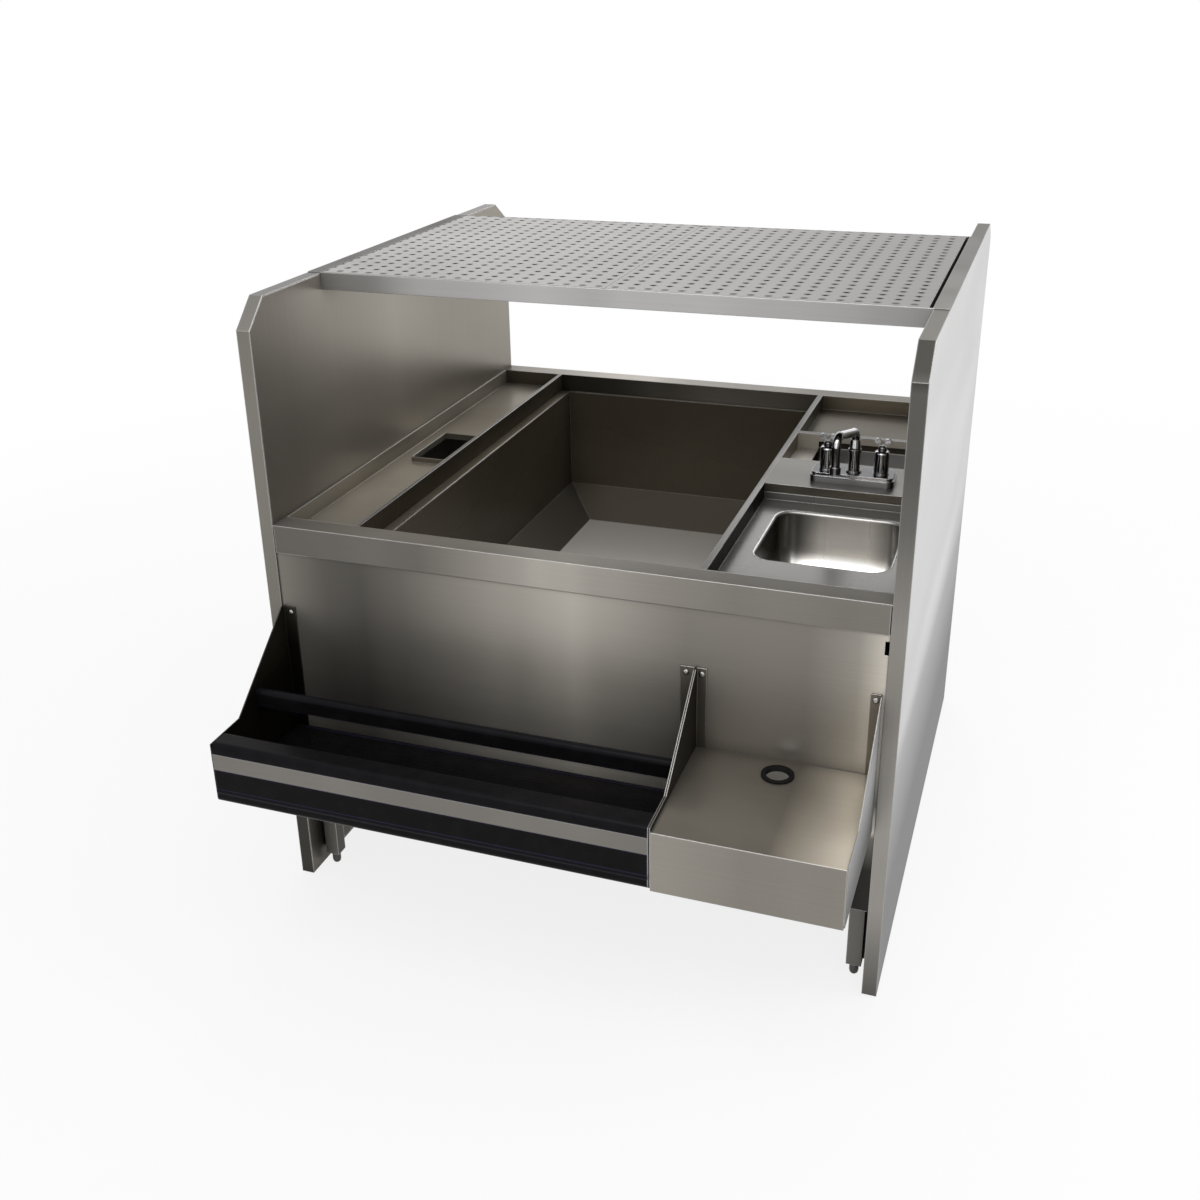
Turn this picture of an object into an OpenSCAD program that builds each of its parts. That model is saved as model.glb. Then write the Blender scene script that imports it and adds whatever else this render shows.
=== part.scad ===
// Pass-through cocktail unit: a stainless bar sink with an ice bin between two
// boxed side panels, a perforated drain shelf above, a bottle rail and a box
// shelf in front. Millimetres, +Z up, the user stands on the -Y side.

/* [Overall] */
// Overall width across the side panels
unit_w = 1143; // [1050:1:1400]
// Depth of the side panels, front to back
unit_d = 1108; // [1060:1:1250]
// Height of the side panels above the floor
unit_h = 1157; // [1080:1:1300]
// Thickness of a boxed side panel
panel_t = 25.4; // [18:0.1:32]
// Sheet thickness of the formed parts
sheet = 1.5; // [1:0.1:2.5]
// Gap between the panels' bottom edges and the floor
floor_gap = 3; // [2:1:10]

/* [Side panel outline] */
// Front top corner cut, along the depth
front_cut_y = 51; // [20:1:90]
// Front top corner cut, along the height
front_cut_z = 50; // [20:1:90]
// Rear top corner cut, along the depth
rear_cut_y = 57; // [20:1:90]
// Rear top corner cut, along the height
rear_cut_z = 38; // [20:1:90]

/* [Drain shelf] */
// Distance from the panels' front edges to the shelf
shelf_y = 245; // [150:1:300]
// Depth of the shelf
shelf_d = 640; // [500:1:700]
// Height of the shelf's skirt
shelf_h = 32; // [24:1:60]
// Spacing of the square grid of drain holes
hole_pitch = 29.4; // [24:0.1:60]
// Diameter of a drain hole
hole_d = 9.5; // [5:0.1:14]
// Least distance from a hole's centre to the insert's outer edge
hole_side = 20; // [14:1:50]
// Least distance from a hole's centre to the insert's front edge
hole_front = 39; // [14:1:50]
// Distance from the last row of holes to the insert's rear edge
hole_rear = 31; // [14:1:50]
// Gap at the left, the front and the rear of the inserts
insert_gap = 2; // [1:0.5:8]
// Gap at the right of the inserts
insert_gap_right = 6; // [1:0.5:9]
// Radius of the finger notch at the back of the seam
notch_r = 13; // [8:1:20]

/* [Deck] */
// Height of the deck's rims above the floor
deck_z = 756; // [700:1:860]
// Width of the front and rear rims
rim_w = 42; // [30:1:60]
// Height of the apron under the rims
apron_h = 53; // [44:1:80]
// Width of the hem along each side panel
side_hem = 3; // [2:0.5:8]
// Slit between the apron's ends and the side panels
apron_slit = 1.6; // [0.5:0.1:1.8]
// Depth of the recessed trays under the rims
tray_depth = 32; // [20:1:36]
// Width of the left drain tray
left_tray_w = 142; // [120:1:200]
// Width of the divider between the left tray and the bin
tray_div_w = 6; // [4:0.5:14]
// Width of the divider between the bin and the sink side
sink_div_w = 10; // [8:0.5:20]
// Width of the faucet deck, front to back
faucet_deck_d = 149; // [120:1:180]
// Length of the well behind the faucet, front to back
well_d = 167; // [100:1:190]
// Width of the rail between the well and the rear tray
cross_w = 12; // [8:0.5:24]
// Height of the cross rail's front flange
cross_flange = 15; // [8:1:22]
// Width of the well's floor left of its cut-out
well_floor_w = 46; // [20:1:100]

/* [Chase hole in the left tray] */
// Width of the rectangular chase hole
chase_w = 80; // [50:1:90]
// Length of the rectangular chase hole
chase_l = 162; // [80:1:220]
// Height of the collar round the chase hole
collar_h = 11; // [5:1:18]
// Distance from the tray's front wall to the chase hole
chase_y = 422; // [200:1:600]
// Distance from the tray's left wall to the chase hole
chase_x = 40; // [10:1:45]

/* [Ice bin] */
// Clear width of the ice bin
bin_w = 585; // [450:1:620]
// Width of the cover ledge on each side of the bin
ledge_w = 20; // [12:1:30]
// Depth of the ledge under the rims
ledge_depth = 40; // [39:1:50]
// Width of the lip at the bin's front and rear walls
bin_lip = 3; // [1:0.5:8]
// Depth of the upright walls below the ledge
wall_depth = 236; // [150:1:280]
// Height of the sloped lower walls
slope_h = 64; // [30:1:90]
// Inset of the floor from the upright walls
slope_in = 73; // [30:1:110]
// Foam thickness round the bin
foam_t = 22; // [15:0.5:23]
// Thickness of the jacket round the foam
jacket_t = 1.2; // [0.8:0.1:2]

/* [Sink bowl] */
// Offset of the bowl and the faucet to the right of the sink side's middle
sink_shift = 6.5; // [0:0.5:8]
// Clear width of the bowl
bowl_w = 228; // [160:1:240]
// Clear length of the bowl, front to back
bowl_l = 232; // [180:1:260]
// Depth of the bowl under the sink plate
bowl_depth = 127; // [110:1:230]
// Radius of the bowl's upright corners
bowl_r = 32; // [25:1:60]
// Radius between the bowl's walls and its floor
bowl_bottom_r = 70; // [40:1:80]
// Distance from the front rim to the bowl
bowl_y = 145; // [80:1:160]
// Distance from the bowl to the faucet deck
bowl_back = 50; // [20:1:90]
// Radius of the bowl's rolled rim
rim_roll = 6; // [3:0.5:9]
// Height of the sink plate's rear upturn
upturn_h = 15; // [8:1:24]

/* [Drains] */
// Outer radius of a drain tube
tube_r = 19.05; // [15:0.05:22]
// Wall thickness of a drain tube
tube_wall = 1.6; // [1:0.1:3]
// Length of the plain tailpiece below a drain's locknut
tail_l = 50; // [40:1:90]
// Radius of a drain flange
flange_r = 29; // [26:1:36]
// Thickness of a drain flange
flange_t = 2; // [1.5:0.1:4]
// Height of a drain's locknut
nut_h = 9; // [6:1:14]

/* [Faucet] */
// Distance between the two handles
centres = 101.6; // [90:0.1:110]
// Distance from the faucet deck's front edge to the handles
faucet_y = 61; // [40:1:70]
// Length of the base
base_l = 158; // [150:1:180]
// Width of the base
base_w = 62; // [50:1:70]
// Height of the base
base_h = 22; // [16:1:28]
// Corner radius of the base
base_round = 14; // [6:1:24]
// Height of the spout's upright part above the base
riser_h = 60; // [56:1:90]
// Turn of the spout at rest, towards the ice bin
spout_turn = 6.5; // [0:0.5:20]
// Reach of the spout
reach = 130; // [110:1:230]
// Rise angle of the spout's arm
arm_angle = 13; // [0:1:25]
// Radius of the spout's tube
spout_r = 8; // [5:0.5:9]
// Radius of the column that the spout turns on
column_r = 11; // [10:0.5:14]
// Radius of the rear bend
bend_rear = 18; // [14:1:30]
// Radius of the front bend
bend_front = 16; // [12:1:24]
// Length of the spout's straight drop
drop_len = 40; // [20:1:50]
// Height of the aerator
aerator_h = 14; // [10:1:20]
// Radius of a bonnet
bonnet_r = 14; // [11:0.5:15]
// Height of a bonnet
bonnet_h = 42; // [24:1:50]
// Radius of a handle's hub
hub_r = 8; // [6.5:0.5:10]
// Height of a handle's hub
hub_h = 10; // [9:1:16]
// Lean of a handle's wings from the upright
wing_lean = 36; // [10:1:45]
// Length of a handle's wing
wing_l = 22; // [16:1:30]
// Radius of a supply shank
shank_r = 10.4; // [8:0.1:12]
// Length of a supply shank's plain tail
shank_l = 45; // [35:1:80]

/* [Front and rear panels] */
// Set-back of the front panel behind the apron
panel_setback = 3; // [2:0.5:8]
// Height of the panels' bottom edges above the floor
panel_bottom = 176; // [140:1:300]
// Depth of the panels' folded edges
panel_return = 14; // [8:1:16]
// Width of the relief notch at the front panel's right edge
relief_w = 7; // [4:0.5:18]
// Height of the relief notch
relief_h = 24; // [10:1:30]
// Distance from the front panel's top edge to the relief notch
relief_z = 12; // [6:1:40]

/* [Bottle rail] */
// Length of the rail over its end plates
rail_l = 781.6; // [600:0.1:800]
// Distance from the panels' front edges to the rail's front
rail_reach = 262; // [220:1:300]
// Height of the rail's bottom above the floor
rail_z = 339; // [300:1:380]
// Height of the rail's front wall
rail_h = 116; // [95:1:130]
// Thickness of the moulded front wall
rail_wall = 44; // [30:1:55]
// Thickness of the moulding's skin
skin_t = 4; // [3:0.5:6]
// Radius of the rail's top front edge
rail_round = 11; // [6:1:16]
// Radius of the end plates' lower front corner
plate_round = 10; // [4:1:18]
// Height of the end plates' slanted edge above the rail's top
plate_rise = 142; // [100:1:160]
// Length of the level part of the end plates' top edge
plate_flat = 88; // [60:1:120]
// Width of the end plates' mounting flange
plate_flange = 26; // [20:1:30]
// Height of the bright stripe on the rail's front
stripe_h = 31; // [20:1:34]
// Distance from the rail's top to the stripe
stripe_drop = 19; // [17:1:24]
// Distance from the front panel to the bar between the bottle rows
bar_y = 101; // [90:1:110]
// Thickness of the bar between the bottle rows
bar_t = 18; // [12:1:24]
// Height of the bar between the bottle rows
bar_h = 32; // [26:1:40]
// Height of the bar's lower edge above the rail's bottom
bar_z = 113; // [90:1:116]
// Radius of the rub bead low on the rail's front
bead_r = 5; // [3:0.5:7]

/* [Box shelf] */
// Distance from the rail's bottom to the shelf's top
box_h = 108; // [80:1:116]
// Gap between the box shelf's bracket and the right panel
box_gap = 5; // [0:0.5:12]
// Width of the box shelf brackets' mounting flange
box_flange = 18; // [16:1:30]
// Outer radius of the rubber grommet
grommet_r = 27; // [22:0.5:32]
// Radius of the grommet's opening
grommet_bore = 19.5; // [14:0.5:22]
// Distance from the front panel to the grommet's centre
grommet_y = 48; // [38:1:90]
// Height of the grommet
grommet_h = 8; // [6:0.5:12]

/* [Legs and feet] */
// Side of the square leg posts
post_s = 27; // [20:1:32]
// Gap between a post and its side panel
post_gap = 9; // [2:1:12]
// Distance from the panels' front and rear edges to the posts
post_y = 41; // [20:1:90]
// Height of the posts' bottom ends above the floor
post_z = 26; // [20:1:40]
// Wall thickness of the posts
post_wall = 2; // [1.5:0.1:3]
// Radius of a levelling foot
foot_r = 8.5; // [7:0.5:10]
// Radius of a levelling foot's stem
stem_r = 6; // [4:0.5:7]
// Length of the socket that holds a foot's stem
socket_h = 30; // [20:1:60]
// Height of the side rails' bottom above the floor
base_rail_z = 52; // [46:1:100]
// Height of the side rails
base_rail_h = 38; // [20:1:60]

/* [Screws and clearances] */
// Radius of a screw's head
screw_head_r = 4.8; // [3.5:0.1:6]
// Height of a screw's head
screw_head_h = 2.6; // [1.5:0.1:4]
// Radius of a screw's shank
screw_r = 2.4; // [1.5:0.1:3]
// Radial clearance of a turning fit
turn_fit = 0.06; // [0.02:0.01:0.09]
// Gap between a fixed face and the moving face next to it
run_gap = 0.4; // [0.3:0.05:0.8]
// Radial clearance of a hole round a fixed fastener or tube
hole_fit = 0.4; // [0.2:0.05:0.8]

/* [Hidden] */
$fn = 64;

// Overrun of a cutting solid past the face that it cuts
cut = 1;

// Finishes
steel = [0.66, 0.65, 0.62];
steel_dark = [0.45, 0.44, 0.42];
steel_pale = [0.78, 0.77, 0.75];
chrome = [0.85, 0.85, 0.88];
black = [0.07, 0.07, 0.09];
foam = [0.85, 0.80, 0.62];

// The origin is at the middle of the footprint
bead_out = 2;
y_mid = (unit_d - rail_reach - bead_out) / 2;

// Side panels
inner_l = -unit_w / 2 + panel_t;
inner_r = -inner_l;
front_cut_len = norm([front_cut_y, front_cut_z]);
rear_cut_len = norm([rear_cut_y, rear_cut_z]);

// Deck compartments, left to right and front to back
tray_l = inner_l + side_hem;
tray_r = tray_l + left_tray_w;
ledge_l = tray_r + tray_div_w;
bin_l = ledge_l + ledge_w;
bin_r = bin_l + bin_w;
ledge_r = bin_r + ledge_w;
sink_l = ledge_r + sink_div_w;
sink_r = inner_r - side_hem;
sink_x = (sink_l + sink_r) / 2 + sink_shift;
deck_f = rim_w;
deck_b = unit_d - rim_w;
bowl_f = deck_f + bowl_y;
sink_b = bowl_f + bowl_l + bowl_back;
well_f = sink_b + faucet_deck_d;
cross_f = well_f + well_d;
cross_b = cross_f + cross_w;
tray_z = deck_z - tray_depth;
ledge_z = deck_z - ledge_depth;
apron_z = deck_z - apron_h;

// Ice bin
bin_f = deck_f + bin_lip;
bin_b = deck_b - bin_lip;
bin_x = (bin_l + bin_r) / 2;
bin_y = (bin_f + bin_b) / 2;
slope_z = ledge_z - wall_depth;
bin_floor = slope_z - slope_h;
slope_len = norm([slope_h, slope_in]);
foam_z = bin_floor - sheet - foam_t;
foam_side = sheet + foam_t;
jacket_side = foam_side + jacket_t;

// Sink
bowl_x = sink_x;
bowl_cy = bowl_f + bowl_l / 2;
bowl_floor = tray_z - bowl_depth;
bottom_r = min(bowl_bottom_r, min(bowl_w, bowl_l) / 2 - flange_r - 1);

// Drains
body_r = tube_r + 1;
strainer_r = flange_r - 4;
skirt_r = tube_r - tube_wall - run_gap;
skirt_h = 8;

// Faucet
shank_top_r = shank_r + 0.6;
shank_nut_h = 7;
faucet_cy = sink_b + faucet_y;
base_z = deck_z + base_h;
riser_top = base_z + riser_h;
arm_start_y = bend_rear * (1 - sin(arm_angle));
arm_start_z = riser_top + bend_rear * cos(arm_angle);
arm_end_y = reach - bend_front * (1 + sin(arm_angle));
arm_len = (arm_end_y - arm_start_y) / cos(arm_angle);
arm_end_z = arm_start_z + arm_len * sin(arm_angle);
drop_top_z = arm_end_z - bend_front * cos(arm_angle);
tip_z = drop_top_z - drop_len;
socket_d = 4;
nut_r = column_r + 1.5;
nut_top = 44;
ring_h = 8;
collar_top = base_z + nut_top;
stem_r_handle = 4;
stem_top = 6;
handle_z = base_z + bonnet_h + run_gap;

// Front panel, rail and box shelf
face_y = panel_setback;
mount_y = face_y - sheet;
rail_x0 = inner_l + 1;
rail_x1 = rail_x0 + rail_l;
rail_top = rail_z + rail_h;
plate_top = rail_top + plate_rise;
plate_lip = 8;
rail_lip_h = 2 * skin_t + 2;
flange_z = plate_top - 11;
box_z = rail_z + box_h;
box_l = rail_x1 + 2 * sheet;
box_r = inner_r - box_gap - sheet;
grommet_hole = grommet_r - 3;
rail_screw_inset = 16;
shelf_screw_inset = 8;

// ---------------------------------------------------------------- helpers

// A box between two corners
module bar(x0, x1, y0, y1, z0, z1) {
  translate([x0, y0, z0]) cube([x1 - x0, y1 - y0, z1 - z0]);
}

// A tray of sheet with its top open
module pan(x0, x1, y0, y1, z0, z1) {
  difference() {
    bar(x0, x1, y0, y1, z0, z1);
    bar(x0 + sheet, x1 - sheet, y0 + sheet, y1 - sheet, z0 + sheet, z1 + cut);
  }
}

// An upside-down channel that runs along the depth
module channel_y(x0, x1, y0, y1, z0, z1) {
  difference() {
    bar(x0, x1, y0, y1, z0, z1);
    bar(x0 + sheet, x1 - sheet, y0 - cut, y1 + cut, z0 - cut, z1 - sheet);
  }
}

// A (y, z) outline extruded along +X from x0
module along_x(x0, len) {
  translate([x0, 0, 0]) rotate([90, 0, 90]) linear_extrude(len) children();
}

// A (x, z) outline extruded along +Y from y0
module along_y(y0, len) {
  translate([0, y0 + len, 0]) rotate([90, 0, 0]) linear_extrude(len) children();
}

// A rectangle with round corners, centred
module round_rect(w, l, r) {
  square([w - 2 * r, l], center = true);
  square([w, l - 2 * r], center = true);
  for (sx = [-1, 1], sy = [-1, 1])
    translate([sx * (w / 2 - r), sy * (l / 2 - r)]) circle(r);
}

// The whole model stands on the middle of its footprint
module place() {
  translate([0, -y_mid, 0]) children();
}

// ------------------------------------------------------------ side panels

// The panel's side outline, set in by s all round
function panel_outline(s) = [
  [s, floor_gap + s],
  [s, unit_h - front_cut_z + (s * front_cut_z - s * front_cut_len) / front_cut_y],
  [(front_cut_z - s) * front_cut_y / front_cut_z + s * front_cut_len / front_cut_z,
   unit_h - s],
  [unit_d - (rear_cut_z - s) * rear_cut_y / rear_cut_z
   - s * rear_cut_len / rear_cut_z, unit_h - s],
  [unit_d - s, unit_h - rear_cut_z + (s * rear_cut_z - s * rear_cut_len) / rear_cut_y],
  [unit_d - s, floor_gap + s]
];

// Outer sheet with its edges folded in
module panel_skin() {
  difference() {
    along_x(-unit_w / 2, panel_t) polygon(panel_outline(0));
    along_x(-unit_w / 2 + sheet, panel_t) polygon(panel_outline(sheet));
  }
}

// Flat inner sheet that closes the box
module panel_liner() {
  along_x(inner_l - sheet, sheet) polygon(panel_outline(sheet));
}

module left_panel_skin() color(steel) place() panel_skin();
module left_panel_liner() color(steel) place() panel_liner();
module right_panel_skin() color(steel) place() mirror([1, 0, 0]) panel_skin();
module right_panel_liner() color(steel) place() mirror([1, 0, 0]) panel_liner();

// ------------------------------------------------------------ drain shelf

seam_half = 0.5;
shelf_b = shelf_y + shelf_d;
shelf_top = unit_h + sheet;
shelf_bottom = shelf_top - shelf_h;
insert_wl = inner_r - sheet - insert_gap - seam_half;
insert_wr = inner_r - sheet - insert_gap_right - seam_half;
insert_d = shelf_d - 2 * sheet - 2 * insert_gap;
insert_y = shelf_y + sheet + insert_gap;
insert_h = shelf_h - sheet;
hole_cols = floor((insert_wr - hole_pitch / 2 - hole_side) / hole_pitch) + 1;
hole_rows = floor((insert_d - hole_rear - hole_front) / hole_pitch) + 1;

// Pan under the inserts, with caps that lie on the side panels' top edges
module shelf_pan() {
  color(steel) place() {
    pan(inner_l, inner_r, shelf_y, shelf_b, shelf_bottom, shelf_top);
    for (m = [0, 1])
      mirror([m, 0, 0])
        bar(inner_r - sheet, unit_w / 2, shelf_y, min(shelf_b, unit_d - rear_cut_y),
            unit_h, shelf_top);
  }
}

// One insert of width w: a perforated plate on four folded edges
module perforated_insert(w) {
  x0 = seam_half;
  insert_b = insert_y + insert_d;
  translate([0, 0, shelf_top - sheet]) linear_extrude(sheet) difference() {
    translate([x0, insert_y]) square([w, insert_d]);
    for (i = [0:hole_cols - 1], j = [0:hole_rows - 1])
      translate([(i + 0.5) * hole_pitch, insert_b - hole_rear - j * hole_pitch])
        circle(d = hole_d);
    translate([0, insert_b]) circle(notch_r);
  }
  difference() {
    bar(x0, x0 + w, insert_y, insert_b, shelf_top - insert_h, shelf_top - sheet);
    bar(x0 + sheet, x0 + w - sheet, insert_y + sheet, insert_b - sheet,
        shelf_top - insert_h - cut, shelf_top);
    translate([0, insert_b, shelf_top - insert_h - cut])
      cylinder(r = notch_r, h = insert_h + 2 * cut);
  }
}

module perforated_insert_left() {
  color(steel_pale) place() mirror([1, 0, 0]) perforated_insert(insert_wl);
}
module perforated_insert_right() color(steel_pale) place() perforated_insert(insert_wr);

// ------------------------------------------------------------------- deck

// Front or rear rim: a channel with the apron outside and a flange inside
module rim() {
  difference() {
    bar(inner_l, inner_r, 0, rim_w, apron_z, deck_z);
    bar(inner_l - cut, inner_r + cut, sheet, rim_w - sheet, apron_z - cut, deck_z - sheet);
    bar(inner_l - cut, inner_r + cut, sheet, rim_w + cut, apron_z - cut, ledge_z);
  }
}

// Rims, aprons and side hems in one frame
module deck_frame() {
  color(steel) place() difference() {
    union() {
      rim();
      translate([0, unit_d, 0]) mirror([0, 1, 0]) rim();
      bar(inner_l, tray_l, sheet, unit_d - sheet, apron_z, deck_z);
      bar(sink_r, inner_r, sheet, unit_d - sheet, apron_z, deck_z);
    }
    for (m = [0, 1])
      mirror([m, 0, 0])
        bar(inner_r - apron_slit, inner_r + cut, -cut, 6 * sheet, apron_z - cut,
            deck_z - 2 * sheet);
  }
}

// Left drain tray with its collared chase hole
module left_tray() {
  cx = tray_l + sheet + chase_x;
  cy = deck_f + sheet + chase_y;
  color(steel) place() difference() {
    union() {
      pan(tray_l, tray_r, deck_f, deck_b, tray_z - sheet, deck_z);
      bar(cx - sheet, cx + chase_w + sheet, cy - sheet, cy + chase_l + sheet,
          tray_z - sheet, tray_z + collar_h);
    }
    bar(cx, cx + chase_w, cy, cy + chase_l, tray_z - sheet - cut, tray_z + collar_h + cut);
  }
}

// Thin divider between the left tray and the bin
module tray_divider() {
  color(steel) place() channel_y(tray_r, ledge_l, deck_f, deck_b, ledge_z, deck_z);
}

// Flat-topped divider between the bin and the sink side
module sink_divider() {
  color(steel) place() channel_y(ledge_r, sink_l, deck_f, deck_b, ledge_z, deck_z);
}

// Rear tray on the sink side
module rear_tray() {
  color(steel) place() pan(sink_l, sink_r, cross_b, deck_b, tray_z - sheet, deck_z);
}

// Rail between the well and the rear tray
module cross_rail() {
  color(steel) place() {
    bar(sink_l, sink_r, cross_f, cross_b, deck_z - sheet, deck_z);
    bar(sink_l, sink_r, cross_f, cross_f + sheet, deck_z - cross_flange, deck_z);
    bar(sink_l, sink_r, cross_b - sheet, cross_b, tray_z, deck_z);
  }
}

// Well behind the faucet, open to the cabinet for hoses
module chase_well() {
  x0 = sink_l + well_floor_w;
  x1 = sink_r - well_floor_w / 2;
  color(steel) place() difference() {
    pan(sink_l, sink_r, well_f, cross_f, tray_z - sheet, deck_z);
    bar(x0, x1, well_f + 6 * sheet, cross_f + cut, tray_z - sheet - cut, deck_z - cross_flange);
  }
}

// Bridge that carries the faucet
module faucet_deck() {
  color(steel) place() difference() {
    bar(sink_l, sink_r, sink_b, well_f, tray_z, deck_z);
    bar(sink_l - cut, sink_r + cut, sink_b + sheet, well_f - sheet, tray_z - cut,
        deck_z - sheet);
    for (s = [-1, 1])
      translate([sink_x + s * centres / 2, faucet_cy, tray_z])
        cylinder(r = shank_top_r + hole_fit, h = tray_depth + cut);
  }
}

// ---------------------------------------------------------------- ice bin

// Half of a hopper's section: upright wall, slope and floor, set out by s
function hopper_side(a, b, s, top) = [
  [a - s, top],
  [a - s, slope_z - s * (slope_len - slope_h) / slope_in],
  [a + slope_in + s * (slope_in - slope_len) / slope_h, bin_floor - s],
  [b - slope_in - s * (slope_in - slope_len) / slope_h, bin_floor - s],
  [b + s, slope_z - s * (slope_len - slope_h) / slope_in],
  [b + s, top]
];

// The bin's room, set out by s
module hopper(s, top) {
  intersection() {
    along_y(bin_f - s, bin_b - bin_f + 2 * s) polygon(hopper_side(bin_l, bin_r, s, top));
    along_x(bin_l - s, bin_r - bin_l + 2 * s) polygon(hopper_side(bin_f, bin_b, s, top));
  }
}

module bin_drain_hole() {
  translate([bin_x, bin_y, foam_z - 2 * jacket_t])
    cylinder(r = body_r + hole_fit, h = foam_side + 4 * jacket_t);
}

// Flange round the bin that carries both dividers and the bin's covers
module ice_bin_ledge() {
  color(steel) place() difference() {
    bar(tray_r, sink_l, bin_f - jacket_side, bin_b + jacket_side, ledge_z - sheet, ledge_z);
    hopper(0, ledge_z + cut);
  }
}

// Inner liner: upright walls, sloped lower walls and the floor
module ice_bin_liner() {
  color(steel_dark) place() difference() {
    hopper(sheet, ledge_z - sheet);
    hopper(0, ledge_z);
    bin_drain_hole();
  }
}

// Foam between the liner and the jacket
module ice_bin_insulation() {
  color(foam) place() difference() {
    bar(bin_l - foam_side, bin_r + foam_side, bin_f - foam_side, bin_b + foam_side,
        foam_z, ledge_z - sheet);
    hopper(sheet, ledge_z);
    bin_drain_hole();
  }
}

// Jacket that closes the foam
module ice_bin_jacket() {
  color(steel_dark) place() difference() {
    bar(bin_l - jacket_side, bin_r + jacket_side, bin_f - jacket_side,
        bin_b + jacket_side, foam_z - jacket_t, ledge_z - sheet);
    bar(bin_l - foam_side, bin_r + foam_side, bin_f - foam_side, bin_b + foam_side,
        foam_z, ledge_z);
    bin_drain_hole();
  }
}

// ----------------------------------------------------------------- drains

// Flanged drain on a floor at z: threaded body of length len, then a plain tail
module drain(x, y, z, len) {
  translate([x, y, z]) difference() {
    union() {
      cylinder(r = flange_r, h = flange_t);
      translate([0, 0, -len]) cylinder(r = body_r, h = len);
      translate([0, 0, -len - tail_l]) cylinder(r = tube_r, h = tail_l);
    }
    translate([0, 0, -len - tail_l - cut])
      cylinder(r = tube_r - tube_wall, h = len + tail_l + flange_t + 2 * cut);
  }
}

// Hexagonal nut that clamps the drain from below, its top at z
module locknut(x, y, z) {
  translate([x, y, z - nut_h]) difference() {
    cylinder(r = flange_r, h = nut_h, $fn = 6);
    translate([0, 0, -cut]) cylinder(r = body_r + turn_fit, h = nut_h + 2 * cut);
  }
}

// Lift-out strainer: perforated disc, skirt and pull knob
module strainer(x, y, z) {
  translate([x, y, z + flange_t]) {
    difference() {
      cylinder(r = strainer_r, h = sheet);
      for (i = [0:7])
        rotate(45 * i) translate([strainer_r * 0.5, 0, -cut]) cylinder(r = 2.6, h = sheet + 2 * cut);
    }
    translate([0, 0, -skirt_h]) difference() {
      cylinder(r = skirt_r, h = skirt_h);
      translate([0, 0, -cut]) cylinder(r = skirt_r - sheet, h = skirt_h + cut);
    }
    translate([0, 0, sheet]) cylinder(r = 3, h = 7);
    translate([0, 0, sheet + 7]) cylinder(r = 6, h = 4);
  }
}

module ice_bin_drain() {
  color(steel_pale) place() drain(bin_x, bin_y, bin_floor, foam_side + jacket_t + nut_h + 1);
}
module ice_bin_locknut() color(steel_pale) place() locknut(bin_x, bin_y, foam_z - jacket_t);
module ice_bin_strainer() color(steel_pale) place() strainer(bin_x, bin_y, bin_floor);
module sink_drain() color(steel_pale) place() drain(bowl_x, bowl_cy, bowl_floor, sheet + nut_h + 1);
module sink_locknut() color(steel_pale) place() locknut(bowl_x, bowl_cy, bowl_floor - sheet);
module sink_strainer() color(steel_pale) place() strainer(bowl_x, bowl_cy, bowl_floor);

// ------------------------------------------------------------------- sink

// Half of the bowl's section from its middle to the wall at w, set out by s
module bowl_half_section(w, s, top) {
  difference() {
    translate([0, bowl_floor - s]) square([w + s, top - bowl_floor + s]);
    translate([w - bottom_r, bowl_floor - s - cut])
      square([bottom_r + s + cut, bottom_r + s + cut]);
  }
  translate([w - bottom_r, bowl_floor + bottom_r]) intersection() {
    circle(bottom_r + s);
    translate([0, -bottom_r - s]) square(bottom_r + s);
  }
}

module bowl_section(w, s, top) {
  for (m = [0, 1]) mirror([m, 0]) bowl_half_section(w, s, top);
}

// The bowl's room: round upright corners, wide coves down to the floor, set out by s
module bowl_room(s, top) {
  w = bowl_w / 2;
  l = bowl_l / 2;
  translate([bowl_x, bowl_cy, 0]) {
    intersection() {
      along_y(-l - s, 2 * (l + s)) bowl_section(w, s, top);
      along_x(-w - s, 2 * (w + s)) bowl_section(l, s, top);
      translate([0, 0, bowl_floor - s - cut]) linear_extrude(top - bowl_floor + s + 2 * cut) {
        square([2 * (w + s), 2 * (l - bowl_r)], center = true);
        square([2 * (w - bowl_r), 2 * (l + s)], center = true);
      }
    }
    for (k = [0:3]) {
      cx = (k % 2 == 0 ? w : l) - bowl_r;
      cy = (k % 2 == 0 ? l : w) - bowl_r;
      rotate(90 * k) translate([cx, cy, 0]) rotate_extrude(angle = 90) intersection() {
        translate([bowl_r - w, 0]) bowl_half_section(w, s, top);
        translate([0, bowl_floor - s - cut]) square([bowl_r + s, top - bowl_floor + s + cut]);
      }
    }
  }
}

// Sink plate with upturned edges and the opening for the bowl's rim
module sink_plate() {
  color(steel_pale) place() difference() {
    pan(sink_l, sink_r, deck_f, sink_b, tray_z - sheet, deck_z);
    bar(sink_l - cut, sink_r + cut, sink_b - sheet - cut / 4, sink_b + cut,
        tray_z + upturn_h, deck_z + cut);
    translate([bowl_x, bowl_cy, tray_z - 2 * sheet]) linear_extrude(3 * sheet)
      round_rect(bowl_w + 2 * rim_roll, bowl_l + 2 * rim_roll, bowl_r + rim_roll);
  }
}

// Quarter ring from the plate's level down into the bowl's wall
module rim_section() {
  intersection() {
    difference() {
      circle(rim_roll);
      circle(rim_roll - sheet);
    }
    translate([-rim_roll, 0]) square(rim_roll);
  }
}

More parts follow.
